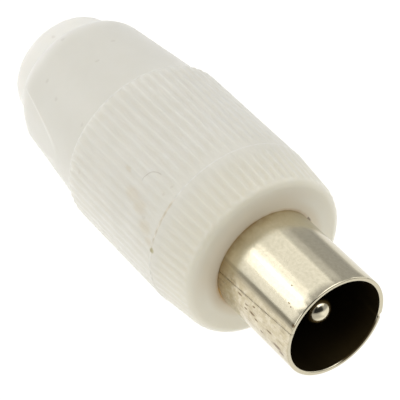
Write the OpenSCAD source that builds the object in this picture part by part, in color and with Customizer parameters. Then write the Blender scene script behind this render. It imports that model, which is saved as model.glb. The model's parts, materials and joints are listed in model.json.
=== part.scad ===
// Coaxial aerial plug with a screw-on rear shell: two ribbed plastic mouldings round a rolled
// metal ferrule, a domed centre pin with a screw terminal, and a claw clamp for the cable's braid.
// The plug lies on its ribs. Its axis is X, the ferrule's mouth faces +X, +Z is up, and the origin
// is the centre of the ferrule's rim. Stations along the axis, named s_, count backwards from there.

/* [Ferrule] */
// Outside diameter of the rolled ferrule
ferrule_d = 9.525; // [8.5:0.005:11]
// Length of ferrule that shows in front of the ring
ferrule_show = 9.6; // [8.5:0.1:13]
// Thickness of the rolled sheet
sheet_t = 0.38; // [0.25:0.01:0.5]
// Width of the flange that the ring traps
flange_w = 0.75; // [0.65:0.05:1.2]
// Width of the open butt joint along the sheet
butt_gap = 0.08; // [0.04:0.01:0.2]
// Angle of the butt joint round the axis, from the top
butt_angle = -73; // [-180:1:180]
// Chamfer on the inner edge of the rim
rim_chamfer = 0.12; // [0.05:0.01:0.2]
// How much slimmer the ferrule gets inside the ring, down to its flange
neck_taper = 0.06; // [0.03:0.01:0.1]
// Length of that taper that shows
neck_lead = 0.1; // [0.05:0.05:0.4]

/* [Centre pin] */
// Diameter of the contact pin
pin_d = 2.35; // [2:0.05:2.8]
// Distance of the domed tip behind the rim
pin_setback = 1.5; // [0.5:0.1:2.5]
// How much the pin's radius grows inside the insulator
pin_seat_step = 0.2; // [0.05:0.05:0.3]
// Diameter of the terminal barrel
barrel_d = 4.2; // [3.7:0.1:4.6]
// Length of the terminal barrel
barrel_len = 5.4; // [5:0.1:7]
// Diameter of the hole for the cable's inner wire
wire_hole_d = 1.2; // [0.8:0.1:1.6]
// Depth of the hole for the cable's inner wire
wire_hole_len = 4.2; // [3.8:0.1:4.8]
// Chamfer at the mouth of the wire hole
wire_lead = 0.3; // [0.1:0.05:0.5]

/* [Terminal screw] */
// Outside diameter of the terminal screw
screw_d = 2; // [1.6:0.1:2.4]
// Length of the terminal screw
screw_len = 2.4; // [2.1:0.1:2.7]
// Height of the screw's tip above the axis
screw_tip_h = 0.35; // [0:0.05:0.5]
// Distance of the screw from the back of the barrel
screw_from_back = 2.4; // [1.8:0.1:2.8]
// Chamfer at both ends of the screw
screw_chamfer = 0.2; // [0.1:0.05:0.3]
// Width of the screwdriver slot
slot_w = 0.4; // [0.3:0.05:0.6]
// Depth of the screwdriver slot
slot_h = 0.6; // [0.4:0.05:0.9]

/* [Insulator] */
// Distance of the insulator's face behind the rim
insulator_depth = 7.9; // [6.5:0.1:9]
// Thickness of the insulator's rim
insulator_rim_t = 0.9; // [0.6:0.1:1.2]

/* [Front ring] */
// Length of the ribbed ring
ring_len = 4.75; // [4.2:0.05:6.5]
// Thickness of the ring's front wall
ring_wall = 2.2; // [1.6:0.1:2.6]
// How much smaller the ring's radius is at the front
ring_draft = 0.42; // [0.1:0.01:0.9]
// Rounding of the front edge
ring_edge_r = 0.8; // [0.3:0.05:1.2]
// How far the ring's back edge lies inside the shell's collar
ring_shy = 0.03; // [0:0.01:0.15]
// Length of the threaded spigot
spigot_len = 5; // [4.6:0.1:6]
// Wall of the spigot under its thread
spigot_wall = 0.62; // [0.5:0.02:1]
// Chamfer at the end of the spigot
spigot_chamfer = 0.25; // [0.1:0.05:0.4]
// Depth of the thread between spigot and shell
thread_depth = 0.55; // [0.4:0.05:0.8]

/* [Ribs] */
// Number of ribs round each moulding
rib_count = 60; // [40:1:72]
// Height of the ribs
rib_h = 0.08; // [0.05:0.01:0.3]
// Width of the groove between two ribs
groove_w = 0.6; // [0.3:0.05:0.7]
// Turn of the ring's ribs from the shell's ribs
ring_rib_turn = 2; // [0:0.5:3]

/* [Rear shell] */
// Wall of the collar outside its thread
collar_wall = 1.31; // [0.9:0.01:1.8]
// Length of the ribbed collar
collar_len = 12.55; // [11:0.05:16]
// Chamfer at both ends of the collar
collar_chamfer = 0.15; // [0.05:0.05:0.3]
// Step from the bottom of the grooves down to the tail
tail_step = 0.29; // [0.05:0.01:0.4]
// Length of the smooth tail
tail_len = 11.5; // [10:0.1:16]
// Loss of radius along the tail
tail_taper = 1.23; // [0.4:0.01:1.5]
// Distance behind the collar where the flats on the tail's sides begin
flat_start = 2.75; // [2:0.05:5]
// How deep the flats lie below the cone of the tail at its shoulder
flat_depth = 0.63; // [0.3:0.01:0.8]
// Rounding of the tail's shoulder
shoulder_r = 2; // [0.5:0.1:2.5]
// Length of the boss at the cable end
boss_len = 2.45; // [1.8:0.05:4]
// Wall of the boss
boss_wall = 1.78; // [1.5:0.02:2.2]
// Rounding of the boss's end
boss_edge_r = 1; // [0.4:0.05:1.2]
// Diameter of the cable hole
cable_hole_d = 7.1; // [5.5:0.1:7.6]
// Thickness of the end wall round the cable hole
end_wall = 3.3; // [2.6:0.1:5]
// Chamfer at the mouth of the cable hole
cable_lead = 0.3; // [0.1:0.05:0.45]
// Free length of bore behind the spigot
thread_runout = 0.85; // [0.5:0.05:1.5]
// Length of plain bore in front of the clamping cone
mid_len = 3.8; // [3:0.1:5]
// Room round the clamp in that bore
clamp_room = 0.6; // [0.4:0.05:0.8]
// Length of the clamping cone
cone_len = 6; // [5:0.1:7]
// Room round the cable behind the cone
cable_room = 1.05; // [0.8:0.05:1.3]
// Draft of the bore behind the cone
cavity_draft = 0.2; // [0:0.05:0.4]

/* [Braid clamp] */
// Wall of the clamp
clamp_wall = 0.5; // [0.45:0.05:0.7]
// Thickness of the inner shoulder that holds the insulator
clamp_shoulder_t = 0.6; // [0.4:0.1:1]
// Width of that shoulder
clamp_shoulder_w = 0.7; // [0.4:0.05:0.8]
// Number of claws
claw_count = 4; // [3:1:6]
// Width of the slots between the claws
claw_slot_w = 0.9; // [0.5:0.1:1.4]
// Length of clamp tube in front of the slots
claw_start = 5; // [3:0.1:6]
// Length of the gripping tooth at each claw's tip
tooth_len = 0.6; // [0.4:0.1:1]
// How far the claws end short of the clamping cone's end
claw_short = 1; // [0.5:0.1:2]

/* [Fits] */
// Gap between the ring and the shell when screwed home
seam_play = 0.05; // [0.02:0.01:0.2]
// Clearance of the ferrule in the ring's hole
ring_fit = 0.02; // [0.01:0.01:0.05]
// Clearance of flange and clamp in the ring's well
well_fit = 0.08; // [0.05:0.01:0.15]
// Clearance of the pressed insulator and pin
press_fit = 0.01; // [0.005:0.005:0.02]
// Clearance of the insulator's rim in the clamp
rim_fit = 0.05; // [0.03:0.01:0.1]
// Clearance of the terminal screw in its hole
screw_fit = 0.03; // [0.01:0.01:0.06]
// Clearance between the claws' tips and the cone
claw_fit = 0.3; // [0.2:0.05:0.4]

/* [Hidden] */
$fn = 180;
arc_steps = 10;
cut_over = 1;
tiny_fn = 32;
plastic = [0.86, 0.85, 0.81];
nickel = [0.78, 0.76, 0.7];
black = [0.06, 0.055, 0.05];
tin = [0.66, 0.66, 0.64];

// Radii of the ferrule and of what stacks up round it, from the inside out
r_ferrule = ferrule_d / 2;
r_bore = r_ferrule - sheet_t;
r_flange = r_ferrule + flange_w;
r_well = r_flange + well_fit;
r_spigot = r_well + spigot_wall;
r_thread = r_spigot + thread_depth;
r_collar = r_thread + collar_wall + rib_h;
r_groove = r_collar - rib_h;
r_clamp_bore = r_flange - clamp_wall;
r_pin = pin_d / 2;
r_pin_seat = r_pin + pin_seat_step;
r_cable = cable_hole_d / 2;

// Stations along the axis, from the rim backwards
s_ring = ferrule_show;
s_step = s_ring + ring_wall;
s_flange = s_step + sheet_t;
s_insulator = s_flange + insulator_rim_t;
s_barrel = s_insulator + barrel_len;
s_seam = s_ring + ring_len;
s_spigot = s_seam + spigot_len;
s_shell = s_seam + seam_play;
s_collar = s_shell + collar_len;
s_shoulder = s_collar + tail_len;
s_end = s_shoulder + boss_len;
s_thread = s_spigot + thread_runout;
s_cone = s_thread + mid_len;
s_cone_end = s_cone + cone_len;
s_cavity = s_end - end_wall;

// Outline of the ring's skin and of the shell's tail
r_ring_back = r_collar - ring_shy;
r_ring_front = r_ring_back - ring_draft;
r_tail = r_groove - tail_step;
r_tail_end = r_tail - tail_taper;
r_boss = r_cable + boss_wall;
tail_lean = atan2(tail_taper, tail_len);
s_shoulder_c = s_shoulder - shoulder_r;
r_shoulder_c = r_tail_end + shoulder_r * (tan(tail_lean) - 1 / cos(tail_lean));
shoulder_turn = acos(max(0, (r_boss - r_shoulder_c) / shoulder_r));

// Flats on the tail's sides: where they leave its cone, and how they lean to the axis
flat_len = tail_len - flat_start;
s_flat = s_collar + flat_start;
r_flat = r_tail - tail_taper * flat_start / tail_len;
flat_lean = atan2(r_flat - r_tail_end + flat_depth, flat_len);

// Bore of the shell in front of and behind its clamping cone
r_mid = r_flange + clamp_room;
r_cone_end = r_cable + cable_room;

// Claws of the clamp inside the shell's cone
s_claw_end = s_cone_end - claw_short;
r_claw_end = r_cone_end + (r_mid - r_cone_end) * claw_short / cone_len - claw_fit;

// Grooves lie between the ribs, with a rib on top; a circle of groove_r cuts their width and depth
rib_pitch = 360 / rib_count;
groove_r = (groove_w * groove_w / 4 + rib_h * rib_h) / (2 * rib_h);

// Points on an arc, for use inside an outline
function arc(centre, r, from, to) =
    [for (i = [0 : arc_steps]) let (a = from + (to - from) * i / arc_steps)
        centre + r * [cos(a), sin(a)]];

// Turns an outline of radius and station into a solid on the plug's axis
module turned(outline) {
    rotate_extrude() polygon(outline);
}

// Lays the plug down: stations run towards -X, and angles count from the top
module laid() {
    rotate([0, -90, 0]) children();
}

// A ring of groove cutters that follow the skin from one radius and station to another
module grooves(r1, s1, r2, s2, turn) {
    lean = atan2(r2 - r1, s2 - s1);
    reach = norm([r2 - r1, s2 - s1]) + 2 * cut_over;
    for (i = [0 : rib_count - 1])
        rotate([0, 0, turn + (i + 0.5) * rib_pitch])
            translate([(r1 + r2) / 2 + groove_r - rib_h, 0, (s1 + s2) / 2])
                rotate([0, lean, 0])
                    cylinder(h = reach, r = groove_r, center = true, $fn = tiny_fn);
}

// The ribbed ring at the front, with its spigot
module front_ring() {
    outline = concat(
        [[r_ferrule + ring_fit, s_ring]],
        arc([r_ring_front - ring_edge_r, s_ring + ring_edge_r], ring_edge_r, -90, 0),
        [[r_ring_back, s_seam],
         [r_spigot, s_seam],
         [r_spigot, s_spigot - spigot_chamfer],
         [r_spigot - spigot_chamfer, s_spigot],
         [r_well, s_spigot],
         [r_well, s_step],
         [r_ferrule + ring_fit, s_step]]);
    color(plastic) laid() difference() {
        turned(outline);
        grooves(r_ring_front, s_ring + ring_edge_r, r_ring_back, s_seam, ring_rib_turn);
    }
}

// Cutters for the two leaning flats on the tail's sides
module tail_flats() {
    for (side = [0, 1])
        mirror([0, side, 0])
            translate([-r_collar, r_flat, s_flat])
                rotate([flat_lean, 0, 0])
                    translate([0, 0, -flat_start / 2])
                        cube([2 * r_collar, r_collar, flat_start / 2 + flat_len + boss_len + cut_over]);
}

// The screw-on shell: ribbed collar, smooth tail with its flats, cable boss and stepped bore
module rear_shell() {
    outer = concat(
        [[r_thread, s_shell],
         [r_collar - collar_chamfer, s_shell],
         [r_collar, s_shell + collar_chamfer],
         [r_collar, s_collar - collar_chamfer],
         [r_collar - collar_chamfer, s_collar],
         [r_tail, s_collar]],
        arc([r_shoulder_c, s_shoulder_c], shoulder_r, tail_lean, shoulder_turn),
        r_boss < r_shoulder_c ? [[r_boss, s_shoulder]] : [],
        arc([r_boss - boss_edge_r, s_end - boss_edge_r], boss_edge_r, 0, 90));
    bore = [
        [r_cable + cable_lead, s_end],
        [r_cable, s_end - cable_lead],
        [r_cable, s_cavity],
        [r_cone_end - cavity_draft, s_cavity],
        [r_cone_end, s_cone_end],
        [r_mid, s_cone],
        [r_mid, s_thread],
        [r_thread, s_thread]];
    color(plastic) laid() difference() {
        turned(concat(outer, bore));
        grooves(r_collar, s_shell, r_collar, s_collar, 0);
        tail_flats();
    }
}

// The rolled ferrule, open along its butt joint, with its flange turned out at the back
module ferrule() {
    outline = [
        [r_bore + rim_chamfer, 0],
        [r_ferrule, 0],
        [r_ferrule, s_ring - neck_lead],
        [r_ferrule - neck_taper, s_step],
        [r_flange, s_step],
        [r_flange, s_flange],
        [r_bore, s_flange],
        [r_bore, rim_chamfer]];
    color(nickel) laid() difference() {
        turned(outline);
        rotate([0, 0, butt_angle])
            translate([0, -butt_gap / 2, -cut_over])
                cube([r_flange + cut_over, butt_gap, s_flange + 2 * cut_over]);
    }
}

// The insulating bush that centres the pin in the ferrule
module insulator() {
    color(black) laid() turned([
        [r_pin_seat + press_fit, insulator_depth],
        [r_bore - press_fit, insulator_depth],
        [r_bore - press_fit, s_flange],
        [r_clamp_bore - rim_fit, s_flange],
        [r_clamp_bore - rim_fit, s_insulator],
        [r_pin_seat + press_fit, s_insulator]]);
}

// The domed pin, with the barrel that takes the cable's inner wire
module centre_pin() {
    outline = concat(
        arc([0, pin_setback + r_pin], r_pin, -90, 0),
        [[r_pin, insulator_depth],
         [r_pin_seat, insulator_depth],
         [r_pin_seat, s_insulator],
         [barrel_d / 2, s_insulator],
         [barrel_d / 2, s_barrel],
         [wire_hole_d / 2 + wire_lead, s_barrel],
         [wire_hole_d / 2, s_barrel - wire_lead],
         [wire_hole_d / 2, s_barrel - wire_hole_len],
         [0, s_barrel - wire_hole_len]]);
    color(nickel) laid() difference() {
        turned(outline);
        translate([0, 0, s_barrel - screw_from_back])
            rotate([0, 90, 0]) cylinder(h = barrel_d, d = screw_d + 2 * screw_fit);
    }
}

// The slotted screw that grips the inner wire
module terminal_screw() {
    r_end = screw_d / 2 - screw_chamfer;
    outline = [
        [0, 0],
        [r_end, 0],
        [screw_d / 2, screw_chamfer],
        [screw_d / 2, screw_len - screw_chamfer],
        [r_end, screw_len],
        [0, screw_len]];
    color(nickel) laid() translate([screw_tip_h, 0, s_barrel - screw_from_back])
        rotate([0, 90, 0]) difference() {
            turned(outline);
            translate([-screw_d, -slot_w / 2, screw_len - slot_h])
                cube([2 * screw_d, slot_w, slot_h + cut_over]);
        }
}

// The clamp that seats on the ferrule's flange and grips the braid with its claws
module braid_clamp() {
    s_shoulder_back = s_insulator + clamp_shoulder_t;
    s_slots = s_shoulder_back + claw_start;
    outline = [
        [r_clamp_bore, s_flange],
        [r_flange, s_flange],
        [r_flange, s_cone],
        [r_claw_end, s_claw_end],
        [r_cable, s_claw_end],
        [r_cable, s_claw_end - tooth_len],
        [r_claw_end - clamp_wall, s_claw_end - tooth_len],
        [r_clamp_bore, s_cone],
        [r_clamp_bore, s_shoulder_back],
        [r_clamp_bore - clamp_shoulder_w, s_shoulder_back],
        [r_clamp_bore - clamp_shoulder_w, s_insulator],
        [r_clamp_bore, s_insulator]];
    color(tin) laid() difference() {
        turned(outline);
        for (i = [0 : claw_count - 1])
            rotate([0, 0, (i + 0.5) * 360 / claw_count])
                translate([0, -claw_slot_w / 2, s_slots])
                    cube([r_flange + cut_over, claw_slot_w, s_claw_end - s_slots + cut_over]);
    }
}

front_ring();
rear_shell();
ferrule();
insulator();
centre_pin();
terminal_screw();
braid_clamp();
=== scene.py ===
"""Coaxial aerial plug: detailed pieces, materials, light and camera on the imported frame.

Lengths are millimetres unless a name says otherwise, and MM turns them into the frame's metres. A place
on the plug is a radius (R_ in names), a station (S_, the distance behind the ferrule's rim) and an angle
in degrees from the top towards +Y.
"""

import json
import math

import bmesh
import bpy
from mathutils import Matrix, Vector


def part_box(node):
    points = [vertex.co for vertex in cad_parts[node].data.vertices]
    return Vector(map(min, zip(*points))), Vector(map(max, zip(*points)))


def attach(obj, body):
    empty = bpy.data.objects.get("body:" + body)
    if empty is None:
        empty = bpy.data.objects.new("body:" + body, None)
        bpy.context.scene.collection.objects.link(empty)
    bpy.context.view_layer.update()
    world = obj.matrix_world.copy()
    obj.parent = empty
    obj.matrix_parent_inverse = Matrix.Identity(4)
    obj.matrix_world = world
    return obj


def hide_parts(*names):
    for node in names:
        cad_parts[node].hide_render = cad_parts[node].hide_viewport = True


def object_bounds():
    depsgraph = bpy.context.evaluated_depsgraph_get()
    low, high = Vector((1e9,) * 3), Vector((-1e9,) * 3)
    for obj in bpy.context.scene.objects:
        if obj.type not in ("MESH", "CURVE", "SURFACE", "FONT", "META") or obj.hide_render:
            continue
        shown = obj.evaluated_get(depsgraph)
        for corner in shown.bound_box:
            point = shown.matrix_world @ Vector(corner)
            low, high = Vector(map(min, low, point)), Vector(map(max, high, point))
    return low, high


MM = 0.001
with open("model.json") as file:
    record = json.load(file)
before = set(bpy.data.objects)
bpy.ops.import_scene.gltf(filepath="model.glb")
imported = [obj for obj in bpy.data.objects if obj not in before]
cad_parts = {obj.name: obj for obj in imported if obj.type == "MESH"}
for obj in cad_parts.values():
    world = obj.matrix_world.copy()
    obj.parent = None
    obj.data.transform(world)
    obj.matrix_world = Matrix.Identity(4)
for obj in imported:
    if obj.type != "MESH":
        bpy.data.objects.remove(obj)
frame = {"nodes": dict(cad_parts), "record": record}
cad_box = [list(corner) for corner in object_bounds()]


def ends(node):
    """Front and back station of a CAD node."""
    low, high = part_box(node)
    return -high.x / MM, -low.x / MM


# Sizes that the frame states
mounts = {mount["name"]: mount["dims"] for mount in frame["record"]["mounts"]}
R_FERRULE = mounts["ferrule"]["r_mm"]
R_PIN = mounts["centre_contact"]["r_mm"]
R_CABLE = mounts["cable_entry"]["r_mm"]
S_RING, S_SPIGOT = ends("front_ring")
S_SHELL, S_END = ends("rear_shell")
S_FLANGE = ends("ferrule")[1]
S_TIP, S_BARREL = ends("centre_pin")
S_BUSH, S_BUSH_BACK = ends("insulator")
screw_front, screw_back = ends("terminal_screw")
S_SCREW = (screw_front + screw_back) / 2
R_SCREW = (screw_back - screw_front) / 2

# Sizes of the mouldings and of the sheet, as in the solids
SHEET_T = 0.38
FLANGE_W = 0.75
NECK_TAPER, NECK_LEAD = 0.06, 0.1
WELL_FIT, SCREW_FIT, SEAM_PLAY = 0.08, 0.03, 0.05
RING_DRAFT, RING_EDGE_R, RING_SHY = 0.42, 0.8, 0.03
SPIGOT_WALL, SPIGOT_CHAMFER, THREAD_DEPTH = 0.62, 0.25, 0.55
RIB_COUNT, RIB_H, GROOVE_W, RING_RIB_TURN = 60, 0.08, 0.6, 2
COLLAR_WALL, COLLAR_LEN = 1.31, 12.55
TAIL_STEP, TAIL_LEN, TAIL_TAPER = 0.29, 11.5, 1.23
FLAT_START, FLAT_DEPTH = 2.75, 0.63
SHOULDER_R, BOSS_WALL, BOSS_EDGE_R = 2.0, 1.78, 1.0
CABLE_LEAD, END_WALL = 0.3, 3.3
THREAD_RUNOUT, MID_LEN, CONE_LEN = 0.85, 3.8, 6.0
CLAMP_ROOM, CABLE_ROOM, CAVITY_DRAFT = 0.6, 1.05, 0.2
SEAT_STEP, R_BARREL = 0.2, 2.1
R_WIRE, WIRE_LEAD, WIRE_LEN = 0.6, 0.3, 4.2

# Softness of moulded edges, and radii of the sheet's edges and bend
EDGE, COLLAR_EDGE, RIB_SOFT, FLAT_SOFT = 0.1, 0.15, 0.11, 0.02
SEAM_EDGE, HOLE_EDGE = 0.006, 0.006
RIM_EDGE, BORE_EDGE, FLANGE_EDGE, BEND_R = 0.12, 0.14, 0.06, 0.2

# The hole in the ring fits the ferrule, and the seam behind the ring is almost closed, with the ring flush
HOLE_FIT, SEAM_CLOSE, RING_PROUD = 0.001, 0.046, 0.025

# Ribs: depth as a share of the solids', how they fade towards the seam, and the side where they are worn
RING_RIB, SHELL_RIB = 1.05, 0.95
SEAM_RIB, SEAM_FADE = 0.02, 1.1
WORN_ANGLE, WORN_SPAN, WORN_SHARE = -60, 60, 0.5

# Flats on the tail: sine of the least angle they reach, share of the crown they keep, flash on their edge
FLAT_SIDE, FLAT_CROWN = 0.6, 0.45
FLASH_H, FLASH_W, FLASH_GROWTH = 0.03, 0.03, 2

# Slight lean of the shell on its thread: slope, direction, and the station that stays in place
LEAN, LEAN_ANGLE, S_LEAN = 0.0033, 59, 28

# Thread: ridge, play, where its turns begin and end, and how they run out
PITCH, THREAD_PLAY = 1.25, 0.1
THREAD_BASE, THREAD_TOP, THREAD_SINK = 0.75, 0.3, 0.05
THREAD_LEAD, RING_THREAD_STOP, SHELL_THREAD_STOP = 0.75, 0.5, 0.7
RUNOUT_TURNS, RUNOUT_LEAST, STEPS_A_TURN = 0.25, 0.05, 72

# Butt joint of the ferrule: angle, slant and width in degrees, gap and dip; and the nick in its rim
JOINT_ANGLE, JOINT_SLANT, JOINT_W, JOINT_GAP, JOINT_DIP = -73.5, 7.0, 3, 0.036, 0.02
NICK_ANGLE, NICK_W, NICK_LEN, NICK_IN, NICK_BACK = 101, 1.8, 0.3, 0.07, 0.1

# Height of the pin's dome
PIN_DOME = 0.95

# Sizes worked out from those
R_HOLE = R_FERRULE + HOLE_FIT
R_BORE = R_FERRULE - SHEET_T
R_NECK = R_FERRULE - NECK_TAPER
R_FLANGE = R_FERRULE + FLANGE_W
R_WELL = R_FLANGE + WELL_FIT
R_SPIGOT = R_WELL + SPIGOT_WALL
R_THREAD = R_SPIGOT + THREAD_DEPTH
R_COLLAR = R_THREAD + COLLAR_WALL + RIB_H
R_TAIL = R_COLLAR - RIB_H - TAIL_STEP
R_TAIL_END = R_TAIL - TAIL_TAPER
R_BOSS = R_CABLE + BOSS_WALL
R_RING_BACK = R_COLLAR - RING_SHY + RING_PROUD
R_RING_FRONT = R_RING_BACK - RING_DRAFT
R_MID = R_FLANGE + CLAMP_ROOM
R_CONE_END = R_CABLE + CABLE_ROOM
R_SEAT = R_PIN + SEAT_STEP
GROOVE_R = (GROOVE_W ** 2 / 4 + RIB_H ** 2) / (2 * RIB_H)
S_STEP = S_FLANGE - SHEET_T
S_SEAM = S_SHELL - SEAM_PLAY + SEAM_CLOSE
S_COLLAR = S_SHELL + COLLAR_LEN
S_SHOULDER = S_COLLAR + TAIL_LEN
S_THREAD = S_SPIGOT + THREAD_RUNOUT
S_THREAD_START = S_SEAM + THREAD_LEAD
S_CONE = S_THREAD + MID_LEN
S_CONE_END = S_CONE + CONE_LEN
S_CAVITY = S_END - END_WALL
TAIL_SLOPE = TAIL_TAPER / TAIL_LEN
TAIL_LEAN = math.atan(TAIL_SLOPE)
S_SHOULDER_C = S_SHOULDER - SHOULDER_R
R_SHOULDER_C = R_TAIL_END + SHOULDER_R * (math.tan(TAIL_LEAN) - 1 / math.cos(TAIL_LEAN))
S_FLAT = S_COLLAR + FLAT_START
R_FLAT = R_TAIL - TAIL_SLOPE * FLAT_START
FLAT_SLOPE = (R_FLAT - R_TAIL_END + FLAT_DEPTH) / (TAIL_LEN - FLAT_START)

# Corners sharper than these degrees stay creased
SHARP, THREAD_SHARP = 40, 30


def arc(centre_r, centre_s, radius, start, end, steps):
    """Points on an arc in the plane of radius and station, angles in degrees from +radius to +station."""
    turns = [math.radians(start + (end - start) * i / steps) for i in range(steps + 1)]
    return [(centre_r + radius * math.cos(a), centre_s + radius * math.sin(a)) for a in turns]


def spread(start, end, steps):
    """Points on a straight stretch of outline, without its ends."""
    return [tuple(a + (b - a) * i / steps for a, b in zip(start, end)) for i in range(1, steps)]


def place(radius, station, angle):
    """Position in metres of a place on the plug."""
    turn = math.radians(angle)
    return Vector((-station, radius * math.sin(turn), radius * math.cos(turn))) * MM


def soft_min(a, b, soft):
    """The smaller of two values, blended over a width where they meet."""
    near = max(soft - abs(a - b), 0) / soft
    return min(a, b) - near * near * soft / 4


def mesh_object(name, points, faces, body, slot, sharp=SHARP):
    """A smooth-shaded mesh with creases only at real corners, riding on a body."""
    mesh = bpy.data.meshes.new(name)
    mesh.from_pydata(points, [], faces)
    bm = bmesh.new()
    bm.from_mesh(mesh)
    bmesh.ops.remove_doubles(bm, verts=bm.verts, dist=1e-7)
    bmesh.ops.recalc_face_normals(bm, faces=bm.faces)
    bm.to_mesh(mesh)
    bm.free()
    mesh.shade_smooth()
    mesh.set_sharp_from_angle(angle=math.radians(sharp))
    piece = bpy.data.objects.new(name, mesh)
    bpy.context.collection.objects.link(piece)
    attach(piece, body)
    return piece


def loft(sections, closed):
    """Points and faces between equal closed sections, joined round or capped at both ends."""
    size = len(sections[0])
    points = [point for section in sections for point in section]
    faces = []
    for i in range(len(sections) - (0 if closed else 1)):
        a, b = i * size, (i + 1) % len(sections) * size
        faces += [(a + j, a + (j + 1) % size, b + (j + 1) % size, b + j) for j in range(size)]
    if not closed:
        faces += [tuple(range(size)), tuple(range(len(points) - size, len(points)))]
    return points, faces


def turned(outline, angles, skin=None, closed=True):
    """Points and faces of an outline turned about the axis; skin trims or moves each place."""
    def at(radius, station, angle):
        return place(*skin(radius, station, angle)) if skin else place(radius, station, angle)
    return loft([[at(r, s, a) for r, s in outline] for a in angles], closed)


def cut(piece, tool):
    """Takes a tool's volume out of a piece and removes the tool."""
    hole = piece.modifiers.new("hole", "BOOLEAN")
    hole.operation = "DIFFERENCE"
    hole.solver = "EXACT"
    hole.object = tool
    bpy.context.view_layer.objects.active = piece
    bpy.ops.object.modifier_apply(modifier=hole.name)
    bpy.data.objects.remove(tool)


# Angles that follow the ribs, closer together in the grooves than on the crests
RIB_PARTS = (0, 0.09, 0.18, 0.25, 0.3, 0.35, 0.5, 0.65, 0.7, 0.75, 0.82, 0.91)
RIB_PITCH = 360 / RIB_COUNT
SHELL_GROOVE = RIB_PITCH / 2
RING_GROOVE = RIB_PITCH / 2 + RING_RIB_TURN


def rib_angles(turn):
    """Angles round the plug for ribs whose first groove lies at a turn."""
    return [turn + (i + part) * RIB_PITCH for i in range(RIB_COUNT) for part in RIB_PARTS]


def groove_floor(skin_radius, station, angle, turn, share):
    """Radius of the groove's floor at an angle, or a larger one on the crests.

    Grooves are shallower close to the seam and on the worn side.
    """
    off = (angle - turn + RIB_PITCH / 2) % RIB_PITCH - RIB_PITCH / 2
    across = math.radians(off) * skin_radius
    if abs(across) >= GROOVE_R:
        return skin_radius + 1
    from_worn = abs((angle - WORN_ANGLE + 180) % 360 - 180)
    worn = WORN_SHARE * (1 + math.cos(math.pi * min(from_worn / WORN_SPAN, 1))) / 2
    depth = RIB_H * share * (1 - worn) * min(SEAM_RIB + abs(station - S_SHELL) / SEAM_FADE, 1)
    return skin_radius + GROOVE_R - depth - math.sqrt(GROOVE_R ** 2 - across ** 2)


# The ribbed front ring, with the spigot under the shell
def ring_skin(radius, station, angle):
    """Presses the ribs' grooves into the ring's tapered side."""
    along = (station - S_RING - RING_EDGE_R) / (S_SEAM - S_RING - RING_EDGE_R)
    line = R_RING_FRONT + (R_RING_BACK - R_RING_FRONT) * along
    if station < S_SEAM + EDGE:
        radius = soft_min(radius, groove_floor(line, station, angle, RING_GROOVE, RING_RIB), RIB_SOFT)
    return radius, station, angle


ring_outline = (
    arc(R_HOLE + HOLE_EDGE, S_RING + HOLE_EDGE, HOLE_EDGE, -180, -90, 4)
    + spread((R_HOLE, S_RING), (R_RING_FRONT - RING_EDGE_R, S_RING), 5)
    + arc(R_RING_FRONT - RING_EDGE_R, S_RING + RING_EDGE_R, RING_EDGE_R, -90, 0, 16)
    + spread((R_RING_FRONT, S_RING + RING_EDGE_R), (R_RING_BACK, S_SEAM - SEAM_EDGE), 8)
    + arc(R_RING_BACK - SEAM_EDGE, S_SEAM - SEAM_EDGE, SEAM_EDGE, 0, 90, 3)
    + [(R_SPIGOT + EDGE, S_SEAM)]
    + arc(R_SPIGOT + EDGE, S_SEAM + EDGE, EDGE, -90, -180, 3)
    + [(R_SPIGOT, S_SPIGOT - SPIGOT_CHAMFER),
       (R_SPIGOT - SPIGOT_CHAMFER, S_SPIGOT),
       (R_WELL, S_SPIGOT),
       (R_WELL, S_STEP),
       (R_HOLE, S_STEP)])
ring = mesh_object("ring_body", *turned(ring_outline, rib_angles(RING_GROOVE), ring_skin),
                   "plug_front", "white_plastic")
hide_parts("front_ring")


# The screw-on shell: ribbed collar, tail with two flats, cable boss and stepped bore
def shell_skin(radius, station, angle):
    """Presses the grooves into the collar, cuts the flats with their flash, and leans the shell."""
    if station < S_COLLAR + EDGE:
        floor_r = groove_floor(R_COLLAR, station, angle, SHELL_GROOVE, SHELL_RIB)
        radius = soft_min(radius, floor_r, RIB_SOFT)
    side = abs(math.sin(math.radians(angle)))
    if station > S_COLLAR + EDGE and side > FLAT_SIDE:
        flat = (R_FLAT - FLAT_SLOPE * (station - S_FLAT)) / side
        grown = min(max((station - S_FLAT) / FLASH_GROWTH, 0), 1)
        flash = FLASH_H * grown * math.exp(-((radius - flat) / FLASH_W) ** 2)
        radius = soft_min(radius, flat + FLAT_CROWN * (radius - flat), FLAT_SOFT) + flash
    aside, turn = LEAN * (station - S_LEAN), math.radians(angle)
    y = radius * math.sin(turn) + aside * math.sin(math.radians(LEAN_ANGLE))
    z = radius * math.cos(turn) + aside * math.cos(math.radians(LEAN_ANGLE))
    return math.hypot(y, z), station, math.degrees(math.atan2(y, z))


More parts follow.
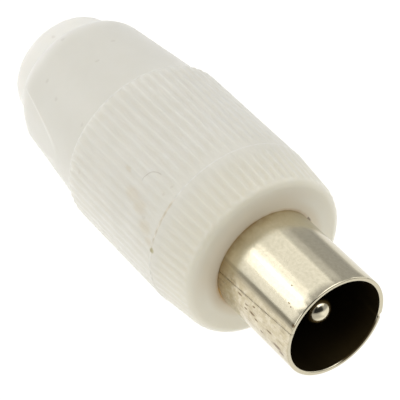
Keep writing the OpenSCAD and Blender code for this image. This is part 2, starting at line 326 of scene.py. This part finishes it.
shoulder_start = (R_SHOULDER_C + SHOULDER_R * math.cos(TAIL_LEAN),
                  S_SHOULDER_C + SHOULDER_R * math.sin(TAIL_LEAN))
shoulder_turn = math.degrees(math.acos((R_BOSS + EDGE - R_SHOULDER_C) / SHOULDER_R))
shell_outline = (
    [(R_THREAD, S_SHELL + EDGE), (R_THREAD + EDGE, S_SHELL)]
    + arc(R_COLLAR - SEAM_EDGE, S_SHELL + SEAM_EDGE, SEAM_EDGE, -90, 0, 3)
    + [(R_COLLAR, S_SHELL + SEAM_FADE * part) for part in (0.25, 0.5, 1)]
    + spread((R_COLLAR, S_SHELL + SEAM_FADE), (R_COLLAR, S_COLLAR - COLLAR_EDGE), 3)
    + arc(R_COLLAR - COLLAR_EDGE, S_COLLAR - COLLAR_EDGE, COLLAR_EDGE, 0, 90, 4)
    + arc(R_TAIL + EDGE, S_COLLAR + EDGE, EDGE, -90, -180, 4)
    + spread((R_TAIL, S_COLLAR + EDGE), shoulder_start, 30)
    + arc(R_SHOULDER_C, S_SHOULDER_C, SHOULDER_R, math.degrees(TAIL_LEAN), shoulder_turn, 14)
    + [(R_BOSS, S_SHOULDER_C + SHOULDER_R * math.sin(math.radians(shoulder_turn)) + EDGE)]
    + arc(R_BOSS - BOSS_EDGE_R, S_END - BOSS_EDGE_R, BOSS_EDGE_R, 0, 90, 12)
    + arc(R_CABLE + CABLE_LEAD, S_END - CABLE_LEAD, CABLE_LEAD, 90, 180, 4)
    + [(R_CABLE, S_CAVITY + EDGE),
       (R_CABLE + EDGE, S_CAVITY),
       (R_CONE_END - CAVITY_DRAFT, S_CAVITY),
       (R_CONE_END, S_CONE_END),
       (R_MID, S_CONE),
       (R_MID, S_THREAD),
       (R_THREAD, S_THREAD)])
shell = mesh_object("shell_body", *turned(shell_outline, rib_angles(SHELL_GROOVE), shell_skin),
                    "rear_shell", "white_plastic")
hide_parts("rear_shell")


# The thread that joins them: a ridge on the spigot, and one in the shell half a pitch behind it
def thread_ridge(name, root, crest, start, end, body):
    """A helical ridge from a root to a crest radius, running out at both ends."""
    turns = (end - start) / PITCH
    steps = int(STEPS_A_TURN * turns)
    sections = []
    for i in range(steps + 1):
        t = i / steps
        fade = min(1, min(t, 1 - t) * turns / RUNOUT_TURNS + RUNOUT_LEAST)
        top = root + (crest - root) * math.sin(fade * math.pi / 2)
        centre = start + (end - start) * t
        section = [(root, -THREAD_BASE / 2), (top, -THREAD_TOP / 2),
                   (top, THREAD_TOP / 2), (root, THREAD_BASE / 2)]
        sections.append([place(r, centre + ds, 360 * turns * t) for r, ds in section])
    return mesh_object(name, *loft(sections, False), body, "white_plastic", THREAD_SHARP)


ring_thread = thread_ridge("ring_thread", R_SPIGOT - THREAD_SINK, R_THREAD - THREAD_PLAY,
                           S_THREAD_START, S_SPIGOT - RING_THREAD_STOP, "plug_front")
shell_thread = thread_ridge("shell_thread", R_THREAD + THREAD_SINK, R_SPIGOT + THREAD_PLAY,
                            S_THREAD_START + PITCH / 2, S_THREAD - SHELL_THREAD_STOP, "rear_shell")


# The rolled ferrule: sheet with rounded edges, butted along a slightly slanted joint
def ferrule_skin(radius, station, angle):
    """Dips the sheet at its joint, knocks the nick into the rim and slants the joint."""
    to_joint = min(angle - JOINT_ANGLE, JOINT_ANGLE + 360 - angle)
    radius -= JOINT_DIP * math.exp(-((to_joint / JOINT_W) ** 2))
    if station < NICK_LEN:
        nick = math.exp(-(((angle - NICK_ANGLE) / NICK_W) ** 2)) * (1 - station / NICK_LEN)
        radius -= NICK_IN * nick * (1 if radius > (R_FERRULE + R_BORE) / 2 else -1)
        station += NICK_BACK * nick
    slant = JOINT_SLANT * (0.5 - station / S_RING)
    return radius, station, angle + slant


ferrule_outline = (
    arc(R_FERRULE - RIM_EDGE, RIM_EDGE, RIM_EDGE, -90, 0, 5)
    + spread((R_FERRULE, RIM_EDGE), (R_FERRULE, S_RING - NECK_LEAD), 10)
    + [(R_FERRULE, S_RING - NECK_LEAD)]
    + arc(R_NECK + EDGE, S_STEP - EDGE, EDGE, 180, 90, 4)
    + arc(R_FLANGE - FLANGE_EDGE, S_STEP + FLANGE_EDGE, FLANGE_EDGE, -90, 0, 3)
    + arc(R_FLANGE - FLANGE_EDGE, S_FLANGE - FLANGE_EDGE, FLANGE_EDGE, 0, 90, 3)
    + arc(R_BORE + BEND_R, S_FLANGE - BEND_R, BEND_R, 90, 180, 5)
    + spread((R_BORE, S_FLANGE - BEND_R), (R_BORE, BORE_EDGE), 4)
    + arc(R_BORE + BORE_EDGE, BORE_EDGE, BORE_EDGE, 180, 270, 5))

# Angles round the ferrule, counted from its joint and closer together beside it
FERRULE_STEPS = 232
half_gap = math.degrees(JOINT_GAP / 2 / R_FERRULE)
near_joint = [half_gap, half_gap + 0.25, 0.9, 1.6, 2.4, 3.4, 4.6, 6]
rest_of_turn = 360 - 2 * near_joint[-1]
from_joint = (
    near_joint
    + [near_joint[-1] + rest_of_turn * i / FERRULE_STEPS for i in range(1, FERRULE_STEPS)]
    + [360 - a for a in reversed(near_joint)])
ferrule_angles = [JOINT_ANGLE + a for a in from_joint]
ferrule = mesh_object("ferrule_body", *turned(ferrule_outline, ferrule_angles, ferrule_skin, closed=False),
                      "plug_front", "nickel")
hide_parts("ferrule")

# The centre pin: a smooth dome, the seat in the bush and the terminal barrel with its tapped hole
PIN_STEPS = 96
pin_outline = (
    [(r, S_TIP + (s - S_TIP) * PIN_DOME / R_PIN) for r, s in arc(0, S_TIP + R_PIN, R_PIN, -90, 0, 24)]
    + [(R_PIN, S_BUSH), (R_SEAT, S_BUSH), (R_SEAT, S_BUSH_BACK), (R_BARREL - EDGE, S_BUSH_BACK)]
    + arc(R_BARREL - EDGE, S_BUSH_BACK + EDGE, EDGE, -90, 0, 3)
    + arc(R_BARREL - EDGE, S_BARREL - EDGE, EDGE, 0, 90, 3)
    + [(R_WIRE + WIRE_LEAD, S_BARREL),
       (R_WIRE, S_BARREL - WIRE_LEAD),
       (R_WIRE, S_BARREL - WIRE_LEN),
       (0, S_BARREL - WIRE_LEN + R_WIRE / 2)])
pin = mesh_object("pin_body", *turned(pin_outline, [360 * i / PIN_STEPS for i in range(PIN_STEPS)]),
                  "plug_front", "nickel")
bpy.ops.mesh.primitive_cylinder_add(vertices=PIN_STEPS // 2, radius=(R_SCREW + SCREW_FIT) * MM,
                                    depth=2 * R_BARREL * MM, location=(-S_SCREW * MM, 0, R_BARREL * MM))
cut(pin, bpy.context.object)
pin.data.set_sharp_from_angle(angle=math.radians(SHARP))
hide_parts("centre_pin")


def rgb(red, green, blue):
    """An opaque colour."""
    return (red, green, blue, 1)


class Shader:
    """A Principled material, with helpers that add nodes.

    Any value may be the name of one of its places: mm (the position), y, station, radius or angle. A mask is
    a value from 0 to 1.
    """

    # How far the edges of blots wander, in millimetres along and in degrees across
    WANDER_ALONG, WANDER_ACROSS = 0.3, -2.5

    def __init__(self, name, **settings):
        self.material = bpy.data.materials.new(name)
        self.material.use_nodes = True
        self.tree = self.material.node_tree
        self.bsdf = self.tree.nodes["Principled BSDF"]
        for socket, value in settings.items():
            self.bsdf.inputs[socket.replace("_", " ")].default_value = value
        self.colour = None
        self.skin = None
        self.places = {}
        at = self.node("TexCoord").outputs["Object"]
        self.places["mm"] = self.node("VectorMath", {0: at, "Scale": 1 / MM}, operation="SCALE").outputs[0]
        x, y, z = self.node("SeparateXYZ", {0: "mm"}).outputs
        self.places["y"] = y
        self.places["station"] = self.math("MULTIPLY", x, -1)
        squares = self.math("ADD", self.math("MULTIPLY", y, y), self.math("MULTIPLY", z, z))
        self.places["radius"] = self.math("SQRT", squares)
        self.places["angle"] = self.math("DEGREES", self.math("ARCTAN2", y, z))

    def node(self, kind, inputs=None, **settings):
        made = self.tree.nodes.new("ShaderNode" + kind)
        for key, value in settings.items():
            setattr(made, key, value)
        for key, value in (inputs or {}).items():
            self.feed(made.inputs[key], value)
        return made

    def feed(self, socket, value):
        """Links a socket or a named place to an input, or sets a plain value on it."""
        if isinstance(value, str):
            value = self.places[value]
        if isinstance(value, bpy.types.NodeSocket):
            self.tree.links.new(value, socket)
        else:
            socket.default_value = value

    def give(self, name, value):
        """Feeds an input of the material's own shader."""
        self.feed(self.bsdf.inputs[name], value)

    def math(self, operation, *values):
        return self.node("Math", dict(enumerate(values)), operation=operation).outputs[0]

    def ramp(self, value, start, end, low=0.0, high=1.0):
        """Smooth step of a value from one level to another."""
        inputs = {0: value, 1: start, 2: end, 3: low, 4: high}
        return self.node("MapRange", inputs, interpolation_type="SMOOTHSTEP").outputs[0]

    def band(self, value, middle, half, soft):
        """1 where a value lies within half of a middle, fading over soft."""
        off = self.math("ABSOLUTE", self.math("SUBTRACT", value, middle))
        return self.ramp(off, half, half + soft, 1, 0)

    def noise(self, scale, vector="mm", detail=3.0, roughness=0.5):
        inputs = {"Vector": vector, "Scale": scale, "Detail": detail, "Roughness": roughness}
        return self.node("TexNoise", inputs).outputs[0]

    def distance(self, a, b):
        return self.node("VectorMath", {0: a, 1: b}, operation="DISTANCE").outputs["Value"]

    def both(self, *masks):
        """Product of masks and of shares to weaken them by."""
        made = masks[0]
        for mask in masks[1:]:
            made = self.math("MULTIPLY", made, mask)
        return made

    def either(self, *masks):
        """The strongest of some masks."""
        made = masks[0]
        for mask in masks[1:]:
            made = self.math("MAXIMUM", made, mask)
        return made

    def blots(self, spots):
        """Mask of soft blots, each a station, an angle, a half length in mm and a half width in degrees."""
        if not self.skin:
            wander = self.noise(2.5)
            along = self.math("MULTIPLY_ADD", wander, self.WANDER_ALONG, "station")
            across = self.math("MULTIPLY_ADD", wander, self.WANDER_ACROSS, "angle")
            self.skin = self.node("CombineXYZ", {0: along, 1: across}).outputs[0]
        masks = []
        for station, angle, half_length, half_width in spots:
            scale = Vector((1 / half_length, 1 / half_width, 0))
            centre = Vector((station + self.WANDER_ALONG / 2, angle + self.WANDER_ACROSS / 2, 0))
            scaled = self.node("VectorMath", {0: self.skin, 1: scale}, operation="MULTIPLY").outputs[0]
            masks.append(self.ramp(self.distance(scaled, centre * scale), 0.3, 1, 1, 0))
        return self.either(*masks)

    def mix(self, factor, a, b):
        return self.node("Mix", {0: factor, 6: a, 7: b}, data_type="RGBA").outputs[2]

    def coat(self, colour, *masks):
        """Lays a colour over the colours so far, where all the masks meet."""
        self.colour = self.mix(self.both(*masks), self.colour, colour)

    def bump(self, *layers):
        """Chains bumps, each a height, a strength and a depth in millimetres, into the shader's normal."""
        normal = None
        for height, strength, depth in layers:
            inputs = {"Height": height, "Strength": strength, "Distance": depth * MM}
            if normal:
                inputs["Normal"] = normal
            normal = self.node("Bump", inputs).outputs[0]
        self.give("Normal", normal)


# Marks on the plastic: station, angle, half length in mm and half width in degrees
HAZE = ((18.4, -60, 1.4, 6), (17.2, -62.5, 1.3, 6), (15.8, -70, 1.2, 6), (20.3, -50.5, 0.6, 2.5),
        (14.9, -75.5, 0.7, 3.5))
SMUDGES = ((16.26, -65.5, 0.3, 1.3), (15.62, -46.6, 0.2, 1.4), (15.42, -40.4, 0.16, 1.2))
SPECKS = ((39.22, -21, 0.26, 2.6), (36.88, -19.8, 0.25, 2.5), (33.41, 5.7, 0.25, 2.2),
          (31.87, -15.2, 0.22, 2), (34.71, -49.8, 0.26, 2.3), (32.42, -53.9, 0.25, 2.2),
          (27.73, -52.5, 0.26, 2.1), (25.49, -76.3, 0.24, 2), (26.6, -104, 0.3, 3))
LUMP = ((14.3, -79.5, 0.32, 2.4),)

# A fine hair that lies as an arc on the collar, and the millimetres that a degree spans there
HAIR_STATION, HAIR_ANGLE, HAIR_R, HAIR_HALF = 17.1, -48.24, 1.25, 0.01
DEGREE = math.radians(R_COLLAR)

# Satin off-white plastic, faintly mottled, with the tints of age, dirt and handling
plastic = Shader("white_plastic", Subsurface_Scale=1.2 * MM, Subsurface_Radius=(1.0, 0.96, 0.9),
                 Sheen_Weight=0.5, Sheen_Roughness=0.55)
plastic.colour = plastic.mix(plastic.ramp(plastic.noise(0.35, detail=4), 0.35, 0.65),
                             rgb(0.728, 0.708, 0.628), rgb(0.748, 0.728, 0.652))

# Warmer towards the ferrule and greyer on the tail; from the shoulder on, painted light where light shines
# through the thin boss
plastic.coat(rgb(0.75, 0.71, 0.56), plastic.ramp("station", S_RING + 0.3, S_SHELL + 4, 0.5, 0))
plastic.coat(rgb(0.700, 0.682, 0.608), plastic.ramp("station", S_COLLAR, S_COLLAR + 1, 0, 0.35))
plastic.coat(rgb(0.905, 0.89, 0.845), plastic.ramp("station", S_SHOULDER - 2.8, S_SHOULDER + 0.4, 0, 0.7))

# Painted highlight along the thin flash on the crease where the flats meet the tail's cone
off_flat = plastic.math("ADD", plastic.math("ABSOLUTE", "y"),
                        plastic.math("MULTIPLY_ADD", "station", FLAT_SLOPE, -R_FLAT - FLAT_SLOPE * S_FLAT))
off_cone = plastic.math("ADD", "radius",
                        plastic.math("MULTIPLY_ADD", "station", TAIL_SLOPE, -R_TAIL - TAIL_SLOPE * S_COLLAR))
plastic.coat(rgb(0.97, 0.95, 0.88), plastic.band(off_flat, 0, 0.02, 0.03),
             plastic.band(off_cone, 0, 0.02, 0.03), plastic.ramp("station", S_FLAT, S_FLAT + 2, 0, 0.3))

# Painted shade on the edge at the back of the collar, to tone down its highlight, and painted light along
# the seam, lighter on one side, to lift the shade in it
plastic.coat(rgb(0.62, 0.60, 0.53), plastic.band("station", S_COLLAR - 0.05, 0.1, 0.1),
             plastic.ramp("radius", R_TAIL + 0.05, R_TAIL + 0.15), 0.5)
seam_painted_light = plastic.mix(plastic.ramp("angle", -70, -30), rgb(0.88, 0.86, 0.79), rgb(0.81, 0.79, 0.725))
plastic.coat(seam_painted_light, plastic.band("station", S_SHELL, 0.03, 0.05))

# Yellowed face round the ferrule, paler on one side and browner on the other, with painted shade close to
# the ferrule on one side
face = plastic.band("station", S_RING, 0.2, 0.3)
aside = plastic.math("ABSOLUTE", plastic.math("SUBTRACT", "angle", -30))
far_side = plastic.both(plastic.ramp(aside, 50, 85), plastic.ramp("radius", 5.2, 6))
plastic.coat(plastic.mix(far_side, rgb(0.75, 0.67, 0.51), rgb(0.83, 0.80, 0.68)),
             plastic.ramp("radius", R_FERRULE + 0.1, R_RING_FRONT, 1, 0), face)
# Painted shade on the face close to the ferrule, on one side
plastic.coat(rgb(0.55, 0.47, 0.34), plastic.ramp("radius", R_FERRULE, R_FERRULE + 1.3, 0.5, 0), face,
             plastic.band("angle", -65, 45, 30))

# Brown haze on the collar and along part of the seam, and rust that creeps out of the ferrule's hole
on_skin = plastic.ramp("radius", R_BOSS - 0.4, R_BOSS - 0.2)
haze = plastic.both(plastic.blots(HAZE), on_skin, 0.24)
seam_dirt = plastic.both(plastic.band("station", (S_SEAM + S_SHELL) / 2, 0.05, 0.08),
                         plastic.band("angle", -62, 14, 6), plastic.ramp(plastic.noise(0.8), 0.2, 0.6), 0.45)
plastic.coat(rgb(0.60, 0.48, 0.27), plastic.either(haze, seam_dirt))
plastic.coat(rgb(0.55, 0.37, 0.17), plastic.band("radius", R_FERRULE, 0.05, 0.25),
             plastic.band("station", S_RING, 0.05, 0.1),
             plastic.ramp(plastic.noise(1.5), 0.3, 0.7, 0.2, 0.6))

# Dark dirt: a crumb beside the ferrule, smudges, the hair and specks; and a brown lump on the seam
crumb = plastic.both(plastic.band("radius", R_FERRULE, 0.15, 0.07), plastic.band("angle", 63.5, 2.5, 2),
                     plastic.band("station", S_RING, 0.1, 0.1))
smudges = plastic.both(plastic.blots(SMUDGES), on_skin, 0.14)
across = plastic.math("MULTIPLY", "angle", DEGREE)
from_hair = plastic.distance(plastic.node("CombineXYZ", {0: "station", 1: across}).outputs[0],
                             (HAIR_STATION, HAIR_ANGLE * DEGREE, 0))
hair = plastic.both(plastic.band(from_hair, HAIR_R, HAIR_HALF, 0.06), plastic.ramp("station", 16.95, 17.2),
                    plastic.ramp("angle", -51, -48), on_skin, 0.3)
specks = plastic.both(plastic.blots(SPECKS), on_skin, 0.13)
plastic.coat(rgb(0.24, 0.17, 0.10), plastic.either(crumb, smudges, hair, specks))
plastic.coat(rgb(0.42, 0.36, 0.12), plastic.blots(LUMP), on_skin, 0.75)

# Light passes a little way into the plastic, but not at the seam or the hole
to_seam = plastic.math("ABSOLUTE", plastic.math("SUBTRACT", "station", S_SHELL))
off_hole = plastic.either(plastic.ramp("radius", R_FERRULE + 0.1, R_FERRULE + 1.2),
                          plastic.ramp("station", S_SEAM, S_SHELL))
plastic.give("Base Color", plastic.colour)
plastic.give("Roughness", plastic.ramp(plastic.noise(0.8), 0.3, 0.7, 0.4, 0.5))
plastic.give("Subsurface Weight", plastic.both(plastic.ramp(to_seam, 0.2, 1.4), off_hole))
plastic.bump((plastic.noise(5, detail=2), 0.15, 0.005), (plastic.noise(0.7, detail=2), 0.1, 0.015))
for piece in (ring, shell, ring_thread, shell_thread):
    piece.data.materials.append(plastic.material)

# Stains on the ferrule, and a dark reflection painted on the pin's dome, listed as the marks above
STAINS = ((4.79, -86.7, 0.5, 2.2), (4.2, -89.8, 0.35, 1.6), (2.46, -88.5, 0.5, 1.8),
          (1.45, -98.5, 0.85, 3.6), (0.9, -102.5, 0.5, 3.5), (4.68, -77.6, 0.2, 1.4),
          (5.6, -87.9, 0.3, 1.5), (6.58, -78.5, 0.4, 1.5), (1.67, -47.2, 0.15, 0.9),
          (1.33, -48.9, 0.1, 0.9), (5.6, -83, 0.3, 1.2), (3.5, -98.8, 0.3, 2),
          (2.5, -33, 0.12, 1), (0.15, -60.5, 0.3, 2.5), (0.05, NICK_ANGLE, 0.2, 2.2))
PIN_PAINTED_REFLECTION = ((S_TIP + 0.4, -70, 0.6, 55),)

# Warm nickel plate, drawn along the axis, worn and pitted on the side of the butt joint
nickel = Shader("nickel_plate", Metallic=1.0)
stretched = nickel.math("MULTIPLY", "station", 0.3)
drawn = nickel.node("CombineXYZ", {0: stretched, 1: "angle", 2: "radius"}).outputs[0]
streaks = nickel.noise(0.8, drawn, detail=4, roughness=0.6)
outside = nickel.ramp("radius", R_FERRULE - 0.1, R_FERRULE - 0.03)
worn_side = nickel.both(outside, nickel.band("angle", -92, 18, 14))
nickel.colour = nickel.mix(nickel.ramp(nickel.noise(3.5, detail=6, roughness=0.7), 0.35, 0.65),
                           rgb(0.70, 0.64, 0.48), rgb(0.755, 0.695, 0.53))

# Painted shade for a dark reflection on the far side, a darker streak along the near side and tarnish in a
# strip along the joint
painted_dark_reflection = nickel.ramp("angle", 16, 46, 0, 0.62)
streak = nickel.both(nickel.band("angle", -60.5, 0.8, 2.2), nickel.ramp("station", 0.5, 4, 0.85, 0.6))
joint_line = nickel.math("MULTIPLY_ADD", "station", -JOINT_SLANT / S_RING, JOINT_ANGLE + JOINT_SLANT / 2)
strip = nickel.both(nickel.band(nickel.math("SUBTRACT", "angle", joint_line), 0, 0.8, 1.8), 0.35)
nickel.coat(rgb(0.42, 0.38, 0.27), outside, nickel.either(painted_dark_reflection, streak, strip))
nickel.coat(rgb(0.38, 0.29, 0.15), outside, nickel.band("angle", -86, 18, 12),
            nickel.ramp("station", 4, 9, 0.3, 0.6))

# Bright blotches, pits and stains on the worn side
nickel.coat(rgb(0.80, 0.74, 0.60), worn_side,
            nickel.ramp(nickel.noise(1.5, detail=5, roughness=0.65), 0.42, 0.62), 0.5)
pits = nickel.both(nickel.ramp(nickel.noise(2.4, drawn), 0.5, 0.68),
                   nickel.ramp(nickel.noise(1.1, detail=2), 0.35, 0.6), worn_side)
stains = nickel.both(nickel.blots(STAINS), outside, 0.9)
nickel.coat(rgb(0.19, 0.125, 0.06), nickel.either(nickel.both(pits, 0.55), stains))

# Darker and browner towards the ring, most on one side, a bare brassy patch at the ring, a darker cut edge
# at the rim, and a dark reflection painted on the pin's dome
nickel.coat(rgb(0.42, 0.31, 0.15), outside, nickel.ramp("station", S_RING - 1.4, S_RING - 0.1),
            nickel.ramp(nickel.noise(1.5), 0.3, 0.7, 0.35, 0.65), nickel.ramp("angle", -10, 35, 1, 0.25))
nickel.coat(rgb(0.72, 0.50, 0.16), outside, nickel.band("angle", -110, 10, 4),
            nickel.band("station", S_RING, 0.25, 0.1))
nickel.coat(rgb(0.36, 0.33, 0.25), nickel.ramp("station", 0.02, 0.1, 1, 0),
            nickel.ramp("radius", R_BORE - 0.1, R_BORE), 0.4)
# Painted dark reflection on the pin's dome
nickel.coat(rgb(0.2, 0.18, 0.14), nickel.blots(PIN_PAINTED_REFLECTION),
            nickel.ramp("radius", R_PIN + 0.1, R_PIN + 0.3, 0.65, 0))

# The ferrule's bore is tarnished almost black, up to the rim at one place
at_rim = nickel.both(nickel.band("angle", 140, 25, 15), nickel.ramp("station", -0.02, 0.03))
tarnished = nickel.both(nickel.band("radius", R_BORE, 0.15, 0.06),
                        nickel.either(nickel.ramp("station", 0.08, 0.16), at_rim))
nickel.coat(rgb(0.07, 0.05, 0.022), tarnished)
dull = nickel.both(outside, nickel.either(nickel.ramp("angle", -45, -30, 0, 0.1),
                                          nickel.ramp("station", 4.5, 7, 0, 0.25)))
nickel.give("Base Color", nickel.colour)
nickel.give("Roughness", nickel.math("ADD", nickel.ramp(streaks, 0.3, 0.7, 0.12, 0.17),
                                     nickel.both(nickel.either(pits, tarnished, dull), 0.3)))
nickel.bump((nickel.both(worn_side, nickel.noise(1.5, detail=4)), 0.3, 0.03), (streaks, 0.1, 0.004),
            (nickel.noise(0.6, detail=1), 0.15, 0.02), (nickel.noise(7, detail=2), 0.25, 0.003))
for piece in (ferrule, pin):
    piece.data.materials.append(nickel.material)

# Dull black bush
black = Shader("black_bush", Base_Color=rgb(0.012, 0.011, 0.010))
black.give("Roughness", black.ramp(black.noise(1.2), 0.3, 0.7, 0.45, 0.65))
black.bump((black.noise(6), 0.3, 0.01))

# Tinned sheet for the clamp
tin = Shader("tinned_sheet", Metallic=1.0)
tin.give("Base Color", tin.mix(tin.ramp(tin.noise(0.9, detail=5), 0.35, 0.7),
                               rgb(0.50, 0.50, 0.48), rgb(0.64, 0.64, 0.61)))
tin.give("Roughness", tin.ramp(tin.noise(2.5), 0.3, 0.7, 0.28, 0.45))
tin.bump((tin.noise(3), 0.2, 0.01))

# The CAD nodes that show as they are
for node, shader in (("insulator", black), ("terminal_screw", nickel), ("braid_clamp", tin)):
    mesh = frame["nodes"][node].data
    mesh.materials.clear()
    mesh.materials.append(shader.material)

# Pale floor that glows near the plug, as a light table does
FLOOR_SIZE_M = 3.0
GLOW, FAR_GLOW, GLOW_R, FAR_GLOW_R = 1.0, 0.4, 45, 130
middle = (Vector(cad_box[0]) + Vector(cad_box[1])) / 2
bpy.ops.mesh.primitive_plane_add(size=FLOOR_SIZE_M, location=(0, 0, cad_box[0][2]))
floor = bpy.context.object
floor.name = "floor"
table = Shader("pale_floor", Base_Color=rgb(0.12, 0.12, 0.12), Roughness=0.9, Specular_IOR_Level=0,
               Emission_Color=rgb(1, 0.99, 0.96))
table.give("Emission Strength",
           table.ramp(table.distance("mm", middle / MM), GLOW_R, FAR_GLOW_R, GLOW, FAR_GLOW))
floor.data.materials.append(table.material)

# Soft studio light: name, azimuth and elevation in degrees, width and height in metres, watts
LIGHT_DISTANCE_M = 0.6
SOFTBOXES = (
    ("left_strip", 323, 15, 0.2, 0.2, 0.085),
    ("left_middle", 317, 33, 0.2, 0.2, 0.18),
    ("left_top", 306, 44, 0.19, 0.15, 0.095),
    ("back_top", 267, 54, 0.46, 0.16, 0.162),
    ("left_low", 290, 9, 0.25, 0.25, 0.5),
    ("side_left", 0, 15, 0.4, 0.4, 0.64),
    ("side_right", 180, 15, 0.4, 0.4, 0.5),
    ("overhead", 180, 75, 0.4, 0.4, 0.54),
    ("right", 138, 42, 0.3, 0.3, 0.29),
    ("back_right", 232, 42, 0.2, 0.14, 0.022),
    ("front_top", 100, 60, 0.4, 0.4, 0.94))


def direction(azimuth, elevation):
    """Unit vector from the plug; azimuth 0 is -Y and 90 is +X."""
    turn, rise = math.radians(azimuth), math.radians(elevation)
    return Vector((math.sin(turn) * math.cos(rise), -math.cos(turn) * math.cos(rise), math.sin(rise)))


def softbox(name, azimuth, elevation, width, height, watts):
    """A rectangular light that faces the plug."""
    lamp = bpy.data.lights.new(name, "AREA")
    lamp.shape = "RECTANGLE"
    lamp.size, lamp.size_y = width, height
    lamp.energy = watts
    holder = bpy.data.objects.new(name, lamp)
    away = direction(azimuth, elevation)
    holder.location = middle + away * LIGHT_DISTANCE_M
    holder.rotation_euler = away.to_track_quat("Z", "Y").to_euler()
    bpy.context.collection.objects.link(holder)


for box in SOFTBOXES:
    softbox(*box)

# An even sky with a dark gap in front of the plug, which fades in between two cosines from its middle
SKY, GAP = 0.42, 0.03
GAP_AZIMUTH, GAP_ELEVATION = 78, 13
GAP_START, GAP_FULL = 0.76, 0.87
world = bpy.data.worlds.new("studio")
world.use_nodes = True
nodes, links = world.node_tree.nodes, world.node_tree.links
background = nodes["Background"]
background.inputs["Color"].default_value = rgb(1, 1, 1)
sky = nodes.new("ShaderNodeTexCoord")
toward = nodes.new("ShaderNodeVectorMath")
toward.operation = "DOT_PRODUCT"
toward.inputs[1].default_value = direction(GAP_AZIMUTH, GAP_ELEVATION)
level = nodes.new("ShaderNodeMapRange")
level.interpolation_type = "SMOOTHSTEP"
for socket, value in zip(level.inputs[1:5], (GAP_START, GAP_FULL, SKY, GAP)):
    socket.default_value = value
links.new(sky.outputs["Generated"], toward.inputs[0])
links.new(toward.outputs["Value"], level.inputs[0])
links.new(level.outputs[0], background.inputs["Strength"])
bpy.context.scene.world = world
bpy.context.scene.view_settings.view_transform = "Standard"

# Camera at the photograph's viewing angle
IMAGE_PX = 400
FOCAL_PX = 2200.9
SENSOR_W = 36
CLIP_NEAR_M, CLIP_FAR_M = 0.005, 20
CAMERA_AT = Vector((96.112, -78.748, 122.518)) * MM
CAMERA_RIGHT = Vector((0.56445, 0.82547, 0))
CAMERA_UP = Vector((-0.54585, 0.37325, 0.75016))
lens = bpy.data.cameras.new("camera")
lens.sensor_width = SENSOR_W
lens.lens = FOCAL_PX / IMAGE_PX * SENSOR_W
lens.clip_start, lens.clip_end = CLIP_NEAR_M, CLIP_FAR_M
camera = bpy.data.objects.new("camera", lens)
axes = Matrix((CAMERA_RIGHT, CAMERA_UP, CAMERA_RIGHT.cross(CAMERA_UP))).transposed()
camera.matrix_world = Matrix.Translation(CAMERA_AT) @ axes.to_4x4()
bpy.context.collection.objects.link(camera)
bpy.context.scene.camera = camera
